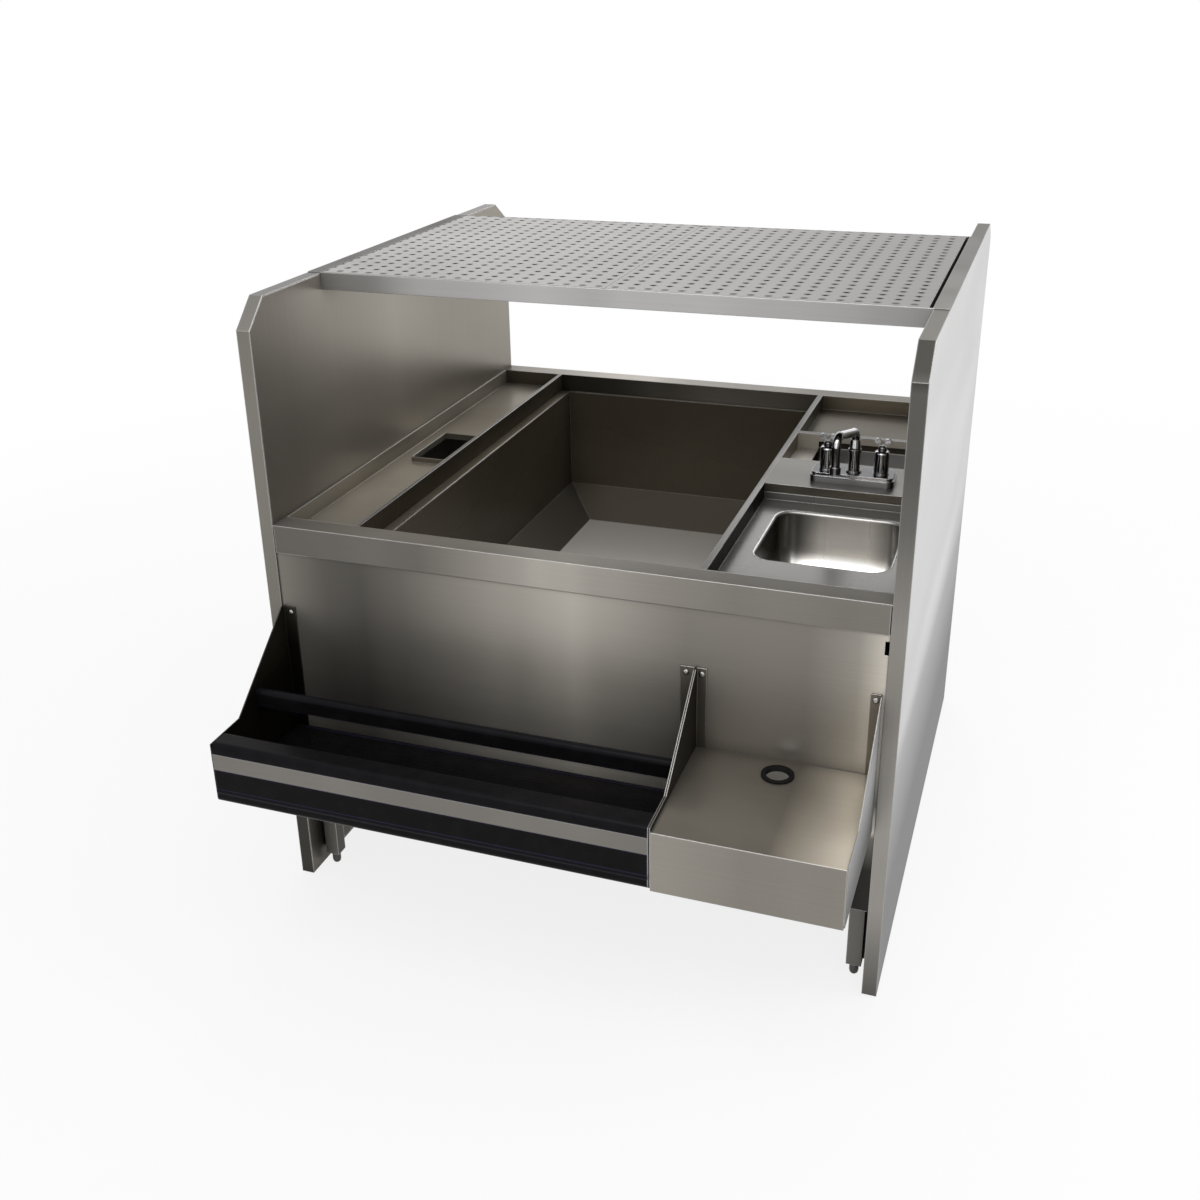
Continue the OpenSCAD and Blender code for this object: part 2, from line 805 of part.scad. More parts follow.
// Drawn bowl with its rolled rim, welded into the sink plate
module sink_bowl() {
  rim_z = tray_z - rim_roll;
  color(steel_pale) place() {
    difference() {
      bowl_room(sheet, rim_z);
      bowl_room(0, rim_z + cut);
      translate([bowl_x, bowl_cy, bowl_floor - 2 * sheet])
        cylinder(r = body_r + hole_fit, h = 3 * sheet);
    }
    translate([bowl_x, bowl_cy, rim_z]) for (k = [0:3]) {
      half = k % 2 == 0 ? bowl_w / 2 : bowl_l / 2;
      run = k % 2 == 0 ? bowl_l / 2 - bowl_r : bowl_w / 2 - bowl_r;
      rotate(90 * k) {
        translate([half + rim_roll, run, 0]) rotate([90, 0, 0]) linear_extrude(2 * run)
          rim_section();
        translate([half - bowl_r, run, 0]) rotate_extrude(angle = 90)
          translate([bowl_r + rim_roll, 0]) rim_section();
      }
    }
  }
}

// ----------------------------------------------------------------- faucet

// Everything on the faucet is set out from the spout's axis
module at_faucet(x = 0) {
  place() translate([sink_x + x, faucet_cy, 0]) children();
}

// Base with round corners, a stepped top and three bosses
module faucet_base() {
  step = 3;
  color(chrome) at_faucet() difference() {
    union() {
      translate([0, 0, deck_z]) linear_extrude(base_h * 0.6)
        round_rect(base_l, base_w, base_round);
      translate([0, 0, deck_z]) linear_extrude(base_h - step)
        round_rect(base_l - 2 * step, base_w - 2 * step, base_round - step);
      for (x = [-centres / 2, 0, centres / 2])
        translate([x, 0, deck_z]) cylinder(r = bonnet_r + 1, h = base_h);
    }
    translate([0, 0, base_z - 8]) cylinder(r = spout_r + turn_fit, h = 8 + cut);
  }
}

// Column with the nut ring that holds the spout down and lets it turn
module spout_nut() {
  chamfer = 3;
  color(chrome) at_faucet() translate([0, 0, base_z]) difference() {
    union() {
      cylinder(r = column_r, h = nut_top - ring_h);
      translate([0, 0, nut_top - ring_h]) cylinder(r = nut_r, h = ring_h - chamfer);
      translate([0, 0, nut_top - chamfer])
        cylinder(r1 = nut_r, r2 = nut_r - 2, h = chamfer - run_gap);
    }
    translate([0, 0, -cut]) cylinder(r = spout_r + turn_fit, h = nut_top + 2 * cut);
  }
}

// Swinging spout: stem and collar, rear bend, rising arm, front bend and drop. A round
// weld bead joins the arm to each bend.
module spout() {
  weld_r = spout_r + 0.3;
  weld_gap = 0.3;
  weld_turn = 1;
  color(chrome) at_faucet() rotate(-spout_turn) difference() {
    union() {
      translate([0, 0, base_z - 8 + run_gap]) cylinder(r = spout_r, h = riser_h + 8 - run_gap);
      translate([0, 0, collar_top])
        cylinder(r1 = column_r, r2 = spout_r + 1, h = riser_h - nut_top);
      translate([0, -bend_rear, riser_top]) rotate([90, 0, 90])
        rotate_extrude(angle = 90 - arm_angle - weld_turn)
          translate([bend_rear, 0]) circle(spout_r);
      translate([0, -arm_start_y, arm_start_z]) {
        sphere(r = weld_r);
        rotate([90 - arm_angle, 0, 0]) {
          translate([0, 0, weld_gap]) cylinder(r = spout_r, h = arm_len - 2 * weld_gap);
          translate([0, 0, arm_len]) sphere(r = weld_r);
        }
      }
      translate([0, -(reach - bend_front), drop_top_z]) rotate([90, 0, -90])
        rotate_extrude(angle = 90 + arm_angle - weld_turn)
          translate([bend_front, 0]) circle(spout_r);
      translate([0, -reach, tip_z]) cylinder(r = spout_r, h = drop_len);
    }
    translate([0, -reach, tip_z - cut]) cylinder(r = spout_r - 2, h = 12 + cut);
  }
}

// Ring screwed on the spout's tip
module aerator() {
  color(chrome) at_faucet() rotate(-spout_turn)
    translate([0, -reach, tip_z - aerator_h + socket_d]) difference() {
      cylinder(r = spout_r + 2, h = aerator_h);
      translate([0, 0, aerator_h - socket_d])
        cylinder(r = spout_r + turn_fit, h = socket_d + cut);
      translate([0, 0, -cut]) cylinder(r = spout_r - 2, h = aerator_h + 2 * cut);
    }
}

// Fixed bonnet with a rounded shoulder and the stem that a handle turns on
module bonnet() {
  round_r = 5;
  translate([0, 0, base_z]) {
    rotate_extrude() {
      square([bonnet_r, bonnet_h - round_r]);
      square([bonnet_r - round_r, bonnet_h]);
      translate([bonnet_r - round_r, bonnet_h - round_r]) intersection() {
        circle(round_r);
        square(round_r);
      }
    }
    translate([0, 0, bonnet_h]) cylinder(r = stem_r_handle, h = stem_top);
  }
}

// One leaning wing of a handle, with a round end
module wing() {
  end_r = 6;
  rotate([0, wing_lean, 0]) rotate([90, 0, 0]) translate([0, 0, -3]) linear_extrude(6) {
    translate([-3.5, 0]) square([7, wing_l - end_r]);
    translate([0, wing_l - end_r]) circle(end_r);
  }
}

// Handle: turned hub, domed top and two wings
module handle() {
  translate([0, 0, handle_z]) difference() {
    union() {
      cylinder(r = hub_r, h = hub_h - 3);
      translate([0, 0, hub_h - 3]) cylinder(r1 = hub_r, r2 = hub_r - 3, h = 3);
      translate([0, 0, hub_h - 5]) wing();
      translate([0, 0, hub_h - 5]) rotate([0, 0, 180]) wing();
    }
    translate([0, 0, -cut]) cylinder(r = stem_r_handle + turn_fit, h = stem_top + cut);
  }
}

module cold_bonnet() color(chrome) at_faucet(centres / 2) bonnet();
module hot_bonnet() color(chrome) at_faucet(-centres / 2) bonnet();
module cold_handle() color(chrome) at_faucet(centres / 2) handle();
module hot_handle() color(chrome) at_faucet(-centres / 2) handle();

// Supply shanks under the base: a threaded top for the nut, a plain tail
module supply_shanks() {
  color("goldenrod") for (s = [-1, 1])
    at_faucet(s * centres / 2) translate([0, 0, deck_z - sheet - shank_nut_h]) difference() {
      union() {
        translate([0, 0, -1]) cylinder(r = shank_top_r, h = shank_nut_h + sheet + 1);
        translate([0, 0, -1 - shank_l]) cylinder(r = shank_r, h = shank_l);
      }
      translate([0, 0, -1 - shank_l - cut]) cylinder(r = shank_r - 4, h = shank_l + cut);
    }
}

// Nuts that clamp the faucet to its deck
module shank_nuts() {
  color("goldenrod") for (s = [-1, 1])
    at_faucet(s * centres / 2) translate([0, 0, deck_z - sheet - shank_nut_h]) difference() {
      cylinder(r = shank_r + 7, h = shank_nut_h, $fn = 6);
      translate([0, 0, -cut]) cylinder(r = shank_top_r + turn_fit, h = shank_nut_h + 2 * cut);
    }
}

// --------------------------------------------------- front and rear panels

// Panel with folded edges, its face at y = 0 and its folds behind
module cover_panel() {
  difference() {
    bar(inner_l, inner_r, 0, panel_return, panel_bottom, apron_z);
    bar(inner_l + sheet, inner_r - sheet, sheet, panel_return + cut,
        panel_bottom + sheet, apron_z - sheet);
  }
}

module bracket_screw_holes() {
  for (x = [rail_x0 + rail_screw_inset, rail_x1 - rail_screw_inset,
            box_l + shelf_screw_inset, box_r - shelf_screw_inset])
    translate([x, -cut * 10, flange_z]) rotate([-90, 0, 0])
      cylinder(r = screw_r + hole_fit, h = face_y + sheet + 11 * cut);
}

module front_panel() {
  color(steel) place() difference() {
    translate([0, face_y, 0]) cover_panel();
    bracket_screw_holes();
    bar(inner_r - relief_w, inner_r + cut, 0, unit_d / 4, apron_z - relief_z - relief_h,
        apron_z - relief_z);
  }
}

module rear_panel() {
  color(steel) place() translate([0, unit_d - face_y, 0]) mirror([0, 1, 0]) cover_panel();
}

// ------------------------------------------------------------ bottle rail

// Side outline of an end plate
module plate_outline() {
  difference() {
    polygon([
      [mount_y, rail_z], [mount_y, plate_top], [mount_y - plate_lip, plate_top],
      [-rail_reach + plate_flat, rail_top + 2], [-rail_reach, rail_top],
      [-rail_reach, rail_z]
    ]);
    translate([-rail_reach - cut, rail_z - cut]) square(plate_round + cut);
  }
  translate([-rail_reach + plate_round, rail_z + plate_round]) circle(plate_round);
}

// End plate from x0, with its flange of width w turned towards dir
module end_plate(x0, dir, w) {
  flange_x0 = dir > 0 ? x0 : x0 + sheet - w;
  difference() {
    union() {
      along_x(x0, sheet) plate_outline();
      bar(flange_x0, flange_x0 + w, mount_y, face_y, rail_z, plate_top);
    }
    bracket_screw_holes();
  }
}

module rail_end_left() color(steel_dark) place() end_plate(rail_x0, 1, plate_flange);
module rail_end_right() color(steel) place() end_plate(rail_x1 - sheet, -1, plate_flange);

// Section of the moulded trough: hollow front wall, floor and rear lip
module trough_outline() {
  front = -rail_reach;
  back = mount_y;
  wall_in = front + rail_wall;
  difference() {
    union() {
      translate([front, rail_z]) square([rail_wall, rail_h - rail_round]);
      translate([front + rail_round, rail_z]) square([rail_wall - 1.5 * rail_round, rail_h]);
      translate([front + rail_round, rail_top - rail_round]) circle(rail_round);
      translate([wall_in - rail_round / 2, rail_top - rail_round / 2]) circle(rail_round / 2);
      translate([wall_in - rail_round, rail_z]) square([rail_round, rail_h - rail_round / 2]);
      translate([wall_in - cut, rail_z]) square([back - wall_in + cut, 2 * skin_t]);
      translate([back - skin_t, rail_z]) square([skin_t, rail_lip_h]);
      translate([front + bead_r - bead_out, rail_z + 23]) circle(bead_r);
    }
    translate([front + 2 * skin_t, rail_z + skin_t])
      square([rail_wall - 3 * skin_t, rail_h - 2 * skin_t - rail_round / 2]);
    translate([wall_in, rail_z - cut])
      square([back - wall_in - skin_t, skin_t + cut]);
    translate([front - cut, rail_z - cut]) square([plate_round + cut, plate_round + cut]);
    translate([front - cut, rail_top - stripe_drop - stripe_h]) square([cut + sheet, stripe_h]);
  }
  translate([front + plate_round, rail_z + plate_round]) intersection() {
    circle(plate_round);
    translate([-plate_round, -plate_round]) square(plate_round + 1);
  }
}

module rail_trough() {
  color(black) place() along_x(rail_x0 + sheet, rail_l - 2 * sheet) trough_outline();
}

// Bar between the two bottle rows, with a round top
module rail_bar() {
  y0 = mount_y - bar_y - bar_t;
  z0 = rail_z + bar_z;
  color(black) place() along_x(rail_x0 + sheet, rail_l - 2 * sheet) difference() {
    union() {
      translate([y0, z0]) square([bar_t, bar_h - bar_t / 2]);
      translate([y0 + bar_t / 2, z0 + bar_h - bar_t / 2]) circle(bar_t / 2);
    }
    translate([y0 + skin_t, z0 + skin_t]) square([bar_t - 2 * skin_t, bar_h - skin_t - bar_t / 2]);
  }
}

// Bright stripe let into the rail's front
module rail_stripe() {
  color(steel) place()
    bar(rail_x0 + sheet, rail_x1 - sheet, -rail_reach, -rail_reach + sheet,
        rail_top - stripe_drop - stripe_h, rail_top - stripe_drop);
}

// Pan-head screw in a bracket's flange
module screw(x) {
  translate([x, mount_y, flange_z]) rotate([90, 0, 0]) {
    cylinder(r = screw_head_r, h = screw_head_h * 0.5);
    translate([0, 0, screw_head_h * 0.5])
      cylinder(r1 = screw_head_r, r2 = screw_head_r * 0.55, h = screw_head_h * 0.5);
    translate([0, 0, -3 * sheet - 2]) cylinder(r = screw_r, h = 3 * sheet + 2);
  }
}

module rail_screws() {
  color(steel_pale) place() for (x = [rail_x0 + rail_screw_inset, rail_x1 - rail_screw_inset])
    screw(x);
}
module shelf_screws() {
  color(steel_pale) place() for (x = [box_l + shelf_screw_inset, box_r - shelf_screw_inset])
    screw(x);
}

// -------------------------------------------------------------- box shelf

// Upside-down pan with a grommet hole
module box_shelf() {
  color(steel) place() difference() {
    bar(box_l, box_r, -rail_reach, mount_y, rail_z, box_z);
    bar(box_l + sheet, box_r - sheet, -rail_reach + sheet, mount_y + cut, rail_z - cut,
        box_z - sheet);
    translate([(box_l + box_r) / 2, face_y - grommet_y, box_z - 2 * sheet])
      cylinder(r = grommet_hole, h = 3 * sheet);
  }
}

module shelf_bracket_left() color(steel) place() end_plate(box_l - sheet, 1, box_flange);
module shelf_bracket_right() color(steel) place() end_plate(box_r, -1, box_flange);

// Rubber ring gripped by the shelf's edge
module grommet() {
  color(black) place()
    translate([(box_l + box_r) / 2, face_y - grommet_y, box_z - sheet / 2]) difference() {
      translate([0, 0, -grommet_h / 2]) cylinder(r = grommet_r, h = grommet_h);
      translate([0, 0, -grommet_h / 2 - cut]) cylinder(r = grommet_bore, h = grommet_h + 2 * cut);
      translate([0, 0, -sheet / 2]) difference() {
        cylinder(r = grommet_r + cut, h = sheet);
        translate([0, 0, -cut]) cylinder(r = grommet_hole, h = sheet + 2 * cut);
      }
    }
}

// ----------------------------------------------------------- legs and feet

post_x = inner_l + post_gap + post_s / 2;
post_cy = post_y + post_s / 2;

// Square post with a fin to its panel and a socket block in its end
module leg_post() {
  translate([post_x, post_cy, post_z]) difference() {
    union() {
      difference() {
        translate([-post_s / 2, -post_s / 2, 0]) cube([post_s, post_s, apron_z - post_z]);
        translate([-post_s / 2 + post_wall, -post_s / 2 + post_wall, socket_h])
          cube([post_s - 2 * post_wall, post_s - 2 * post_wall, apron_z]);
      }
      translate([-post_s / 2 - post_gap, post_s / 2 - 2 * post_wall, 0])
        cube([post_gap + post_wall, 2 * post_wall, apron_z - post_z]);
    }
    translate([0, 0, -cut]) cylinder(r = stem_r + turn_fit, h = socket_h + 2 * cut);
  }
}

// Tubular rail that joins the front and rear posts on one side
module base_rail() {
  y0 = post_cy + post_s / 2;
  x0 = post_x - post_s / 2;
  difference() {
    bar(x0, x0 + post_s, y0, unit_d - y0, base_rail_z, base_rail_z + base_rail_h);
    bar(x0 + post_wall, x0 + post_s - post_wall, y0 - cut, unit_d - y0 + cut,
        base_rail_z + post_wall, base_rail_z + base_rail_h - post_wall);
  }
}

// Bullet foot with the stem that screws into the post
module foot() {
  translate([post_x, post_cy, 0]) {
    rotate_extrude() polygon([
      [0, 0], [foot_r - 3.5, 0], [foot_r - 1, 3], [foot_r, 8],
      [foot_r, post_z - 3 - run_gap], [foot_r + 2, post_z - 3 - run_gap],
      [foot_r + 2, post_z - run_gap], [0, post_z - run_gap]
    ]);
    translate([0, 0, post_z - run_gap - cut]) cylinder(r = stem_r, h = socket_h + cut - 2);
  }
}

// Copy of a front left part at one of the four corners
module corner(right, rear) {
  place() mirror([right, 0, 0]) translate([0, rear * unit_d, 0]) mirror([0, rear, 0]) children();
}

module leg_post_front_left() color(steel_dark) corner(0, 0) leg_post();
module leg_post_front_right() color(steel_dark) corner(1, 0) leg_post();
module leg_post_rear_left() color(steel_dark) corner(0, 1) leg_post();
module leg_post_rear_right() color(steel_dark) corner(1, 1) leg_post();
module base_rail_left() color(steel_dark) corner(0, 0) base_rail();
module base_rail_right() color(steel_dark) corner(1, 0) base_rail();
module foot_front_left() color(steel_pale) corner(0, 0) foot();
module foot_front_right() color(steel_pale) corner(1, 0) foot();
module foot_rear_left() color(steel_pale) corner(0, 1) foot();
module foot_rear_right() color(steel_pale) corner(1, 1) foot();

// --------------------------------------------------------------- assembly

left_panel_skin();
left_panel_liner();
right_panel_skin();
right_panel_liner();
shelf_pan();
perforated_insert_left();
perforated_insert_right();
deck_frame();
left_tray();
tray_divider();
sink_divider();
ice_bin_ledge();
ice_bin_liner();
ice_bin_insulation();
ice_bin_jacket();
ice_bin_drain();
ice_bin_locknut();
ice_bin_strainer();
rear_tray();
cross_rail();
chase_well();
faucet_deck();
sink_plate();
sink_bowl();
sink_drain();
sink_locknut();
sink_strainer();
faucet_base();
spout_nut();
spout();
aerator();
cold_bonnet();
hot_bonnet();
cold_handle();
hot_handle();
supply_shanks();
shank_nuts();
front_panel();
rear_panel();
rail_trough();
rail_bar();
rail_stripe();
rail_end_left();
rail_end_right();
rail_screws();
box_shelf();
shelf_bracket_left();
shelf_bracket_right();
shelf_screws();
grommet();
leg_post_front_left();
leg_post_front_right();
leg_post_rear_left();
leg_post_rear_right();
base_rail_left();
base_rail_right();
foot_front_left();
foot_front_right();
foot_rear_left();
foot_rear_right();
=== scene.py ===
import math
import bpy
import bmesh
from mathutils import Matrix, Vector

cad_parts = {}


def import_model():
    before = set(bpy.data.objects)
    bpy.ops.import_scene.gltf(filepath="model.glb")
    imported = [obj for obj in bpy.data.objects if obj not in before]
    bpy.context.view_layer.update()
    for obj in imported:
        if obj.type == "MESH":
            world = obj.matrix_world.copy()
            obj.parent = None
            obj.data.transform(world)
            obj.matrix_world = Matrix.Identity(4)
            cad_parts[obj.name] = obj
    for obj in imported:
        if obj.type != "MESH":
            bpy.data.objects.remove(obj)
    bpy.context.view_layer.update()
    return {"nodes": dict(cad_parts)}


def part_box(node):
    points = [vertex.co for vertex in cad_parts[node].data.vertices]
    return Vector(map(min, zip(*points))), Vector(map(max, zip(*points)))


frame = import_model()
NODES = frame["nodes"]

# Distance between the inserts' drain holes, and from their last row to the rear edge
HOLE_PITCH = 0.0294
HOLE_REAR = 0.031

# Scale of the brushed grain and of the slow bands, by the axis that the sheet is brushed along
GRAIN = {"x": (3, 900, 900), "y": (900, 3, 900), "z": (900, 900, 3)}
BANDS = {"x": (4.0, 4.0, 0.35), "y": (4.0, 4.0, 0.35), "z": (0.6, 0.6, 2.4)}

# Painted highlights on outward bends: how quickly they turn pale, how open they must lie for
# that, how pale they get
BEND_GAIN = 9.0
BEND_OPEN = 0.45
OPEN_GAIN = 3.0
BEND_SHARE = 0.8
BEND_AND_CREASE_SAMPLES = 6

# How open a place must lie to be free of the painted crease shade, and the hue of the painted
# bend highlights
CREASE_SHADE_END = 0.75
BEND_HIGHLIGHT_HUE = (1, 0.985, 0.955)

# Depth in metres of the fine relief of grain and flow lines
RELIEF = 0.0005

# Warmth of dark steel, the lightness at which it fades, and its share in green and blue
WARMTH = 0.24
WARM_FADE = 0.17
WARM_GREEN = 0.65
WARM_BLUE = 1.7

# Polished metal: painted reflection tones from a face seen straight on (0) to one seen along
# its surface (1)
PLATED = ((0.0, 0.90), (0.10, 0.40), (0.26, 0.05), (0.45, 0.06), (0.56, 0.60), (0.66, 0.12),
          (0.88, 0.90))
TURNED = ((0.0, 0.45), (0.5, 0.30), (1.0, 0.60))
DULLED = ((0.0, 0.10), (0.5, 0.06), (1.0, 0.20))

# The camera: the photo's width, optical centre and focal length in pixels, where the eye
# stands, and the directions of its right, down and forward axes
PHOTO_WIDTH = 1200
PHOTO_CENTRE = (585.98, 558.21)
FOCAL = 1340.87
SENSOR_MM = 36.0
EYE = (0.7423, -2.3141, 1.6474)
RIGHT = Vector((0.94138, 0.33688, -0.01789))
DOWN = Vector((0.11916, -0.38166, -0.91659))
FORWARD = Vector((-0.31560, 0.86073, -0.39943))

# Half the floor's width and its colour; the share of plain white that is shown on it, by the
# distance from the middle as a part of FLOOR_REACH
FLOOR_HALF = 30.0
FLOOR_TONE = (0.86, 0.86, 0.86, 1)
FLOOR_REACH = 4.0
FLOOR_WHITE = ((0.25, 0.84), (0.9, 1.0))

# How bright the surroundings light the unit, and how bright they are seen
SOFT_LIGHT = 0.5
WHITE = 1.0

# Lamps: name, place, what it points at, width and height, watts
LAMPS = (
    ("overhead", (0.4, -2.0, 3.4), (0.2, 0.1, 0.7), (3.4, 2.2), 60),
    ("back", (-0.4, 3.4, 3.2), (0, 0.1, 0.8), (3.4, 2.0), 40),
    ("right", (3.6, 0.4, 2.4), (0.5, 0.1, 0.7), (2.0, 2.6), 50),
)


# ------------------------------------------------------------ shader helpers

def new_mat(name):
    """A new material, its node tree and its Principled shader."""
    mat = bpy.data.materials.new(name)
    mat.use_nodes = True
    nt = mat.node_tree
    bsdf = next(n for n in nt.nodes if n.type == "BSDF_PRINCIPLED")
    return mat, nt, bsdf


def object_coord(nt):
    """Coordinates in metres that move with the piece."""
    return nt.nodes.new("ShaderNodeTexCoord").outputs["Object"]


def ramp(nt, source, stops):
    """Colour ramp; each stop is (position, grey level or colour)."""
    node = nt.nodes.new("ShaderNodeValToRGB")
    elements = node.color_ramp.elements
    while len(elements) < len(stops):
        elements.new(0.5)
    for element, (position, tone) in zip(elements, stops):
        element.position = position
        element.color = (*tone, 1) if isinstance(tone, tuple) else (tone, tone, tone, 1)
    nt.links.new(source, node.inputs["Fac"])
    return node.outputs["Color"]


def scaled(nt, coord, scale, offset=(0, 0, 0)):
    """Coordinates times a scale, moved by an offset."""
    node = nt.nodes.new("ShaderNodeMapping")
    node.inputs["Location"].default_value = offset
    node.inputs["Scale"].default_value = scale
    nt.links.new(coord, node.inputs["Vector"])
    return node.outputs["Vector"]


def noise(nt, coord, scale, detail, rough, distortion=0.0):
    """Cloudy noise with its own scale along each axis."""
    node = nt.nodes.new("ShaderNodeTexNoise")
    node.inputs["Scale"].default_value = 1.0
    node.inputs["Detail"].default_value = detail
    node.inputs["Roughness"].default_value = rough
    node.inputs["Distortion"].default_value = distortion
    nt.links.new(scaled(nt, coord, scale), node.inputs["Vector"])
    return node.outputs["Fac"]


def mix_rgb(nt, fac, a, b, mode="MIX"):
    """Mix of two colours; each value is a socket, a number or a colour."""
    node = nt.nodes.new("ShaderNodeMix")
    node.data_type = "RGBA"
    node.blend_type = mode
    for socket, value in ((node.inputs[0], fac), (node.inputs[6], a), (node.inputs[7], b)):
        if hasattr(value, "is_linked"):
            nt.links.new(value, socket)
        elif isinstance(value, tuple):
            socket.default_value = (*value, 1)
        else:
            socket.default_value = value
    return node.outputs[2]


def maths(nt, operation, a, b, clamp=False):
    """One sum; each value is a socket or a number."""
    node = nt.nodes.new("ShaderNodeMath")
    node.operation = operation
    node.use_clamp = clamp
    for socket, value in zip(node.inputs, (a, b)):
        if isinstance(value, (int, float)):
            socket.default_value = value
        else:
            nt.links.new(value, socket)
    return node.outputs[0]


def vectors(nt, operation, a, b=None):
    """One vector operation; b is a socket, a vector, or a number to scale by."""
    node = nt.nodes.new("ShaderNodeVectorMath")
    node.operation = operation
    nt.links.new(a, node.inputs[0])
    second = node.inputs["Scale"] if operation == "SCALE" else node.inputs[1]
    if hasattr(b, "is_linked"):
        nt.links.new(b, second)
    elif b is not None:
        second.default_value = b
    number = operation in ("DOT_PRODUCT", "DISTANCE", "LENGTH")
    return node.outputs["Value"] if number else node.outputs["Vector"]


def parts(nt, vector):
    """The three parts of a vector."""
    node = nt.nodes.new("ShaderNodeSeparateXYZ")
    nt.links.new(vector, node.inputs[0])
    return node.outputs


def bumped(nt, bsdf, height, strength, soft=None, depth=RELIEF):
    """Fine relief, on top of the softened bends where there are any."""
    node = nt.nodes.new("ShaderNodeBump")
    node.inputs["Strength"].default_value = strength
    node.inputs["Distance"].default_value = depth
    nt.links.new(height, node.inputs["Height"])
    if soft is not None:
        nt.links.new(soft, node.inputs["Normal"])
    nt.links.new(node.outputs["Normal"], bsdf.inputs["Normal"])


# ------------------------------------------------------------- steel's tones

def warm(tone, shown=None):
    """A steel tone; the darker it is shown, the warmer it looks."""
    warmth = WARMTH * math.exp(-(shown or tone) / WARM_FADE)
    return (tone, tone * (1 - WARM_GREEN * warmth), tone * (1 - WARM_BLUE * warmth))


def painted_light_along_axes(nt, coord, color, fades):
    """Painted light, shade and reflections: a tone times factors along axes; each fade is
    (axis, (metres, factor), ...).
    """
    for axis, *points in fades:
        low, high = points[0][0], points[-1][0]
        place = maths(nt, "SUBTRACT", parts(nt, coord)["xyz".index(axis)], low)
        most = max(factor for _, factor in points)
        shade = ramp(nt, maths(nt, "MULTIPLY", place, 1 / (high - low), True),
                     [((metres - low) / (high - low), factor / most)
                      for metres, factor in points])
        color = vectors(nt, "SCALE", mix_rgb(nt, 1.0, color, shade, "MULTIPLY"), most)
    return color


def painted_light_by_facing(nt, coord, tones, fades, sharp):
    """Painted light and shade: one of three tones by where the sheet faces, up or down, front
    or back, sideways.
    """
    top, front, side = (painted_light_along_axes(nt, coord, tone, fades.get(way + "_fade", ()))
                        for way, tone in zip(("top", "front", "side"), tones))
    normal = nt.nodes.new("ShaderNodeNewGeometry").outputs["True Normal"]
    x, y, z = parts(nt, vectors(nt, "MULTIPLY", normal, normal))
    turn = maths(nt, "DIVIDE", x, maths(nt, "ADD", x, y))
    wall = mix_rgb(nt, turn, front, side)
    return mix_rgb(nt, maths(nt, "POWER", z, sharp), wall, top)


def painted_hole_shade(nt, coord, tone):
    """Painted shade: a soft dark ring round each drain hole of the inserts."""
    rear_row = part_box("perforated_insert_left")[1][1] - HOLE_REAR
    lattice = scaled(nt, coord, (1 / HOLE_PITCH, 1 / HOLE_PITCH, 0),
                     (0, 0.5 - rear_row / HOLE_PITCH, 0.5))
    off = vectors(nt, "DISTANCE", vectors(nt, "FRACTION", lattice), (0.5, 0.5, 0.5))
    hole_shade_ring = ramp(nt, off, [(0.16, 0.25), (0.20, 0.55), (0.29, 1.0)])
    return mix_rgb(nt, 1.0, tone, hole_shade_ring, "MULTIPLY")


def painted_bends_and_creases(nt, tone, radius, light, crease_shade, reach):
    """Painted highlights on bends where the sheet folds outwards, painted shade where faces
    meet inwards.

    Gives the tone with these painted highlights and shade, and the normal of the softened
    bends.
    """
    bevel = nt.nodes.new("ShaderNodeBevel")
    bevel.samples = BEND_AND_CREASE_SAMPLES
    bevel.inputs["Radius"].default_value = radius
    soft = bevel.outputs[0]
    flat = nt.nodes.new("ShaderNodeNewGeometry").outputs["True Normal"]
    turn = maths(nt, "SUBTRACT", 1.0, vectors(nt, "DOT_PRODUCT", soft, flat))
    occlusion = nt.nodes.new("ShaderNodeAmbientOcclusion")
    occlusion.samples = BEND_AND_CREASE_SAMPLES
    occlusion.inputs["Distance"].default_value = reach
    openness = occlusion.outputs["AO"]
    # Painted highlight: paler where the softened normal turns from the flat one and the place
    # lies open
    free = maths(nt, "MULTIPLY", maths(nt, "SUBTRACT", openness, BEND_OPEN, True), OPEN_GAIN,
                 True)
    bend = maths(nt, "MULTIPLY", maths(nt, "MULTIPLY", turn, BEND_GAIN, True), free)
    # Painted shade: darker where the faces close in around a place
    shade = ramp(nt, openness, [(0.0, crease_shade), (CREASE_SHADE_END, 1.0)])
    tone = mix_rgb(nt, 1.0, tone, shade, "MULTIPLY")
    return mix_rgb(nt, maths(nt, "MULTIPLY", bend, BEND_SHARE), tone, light), soft


# ----------------------------------------------------------------- materials

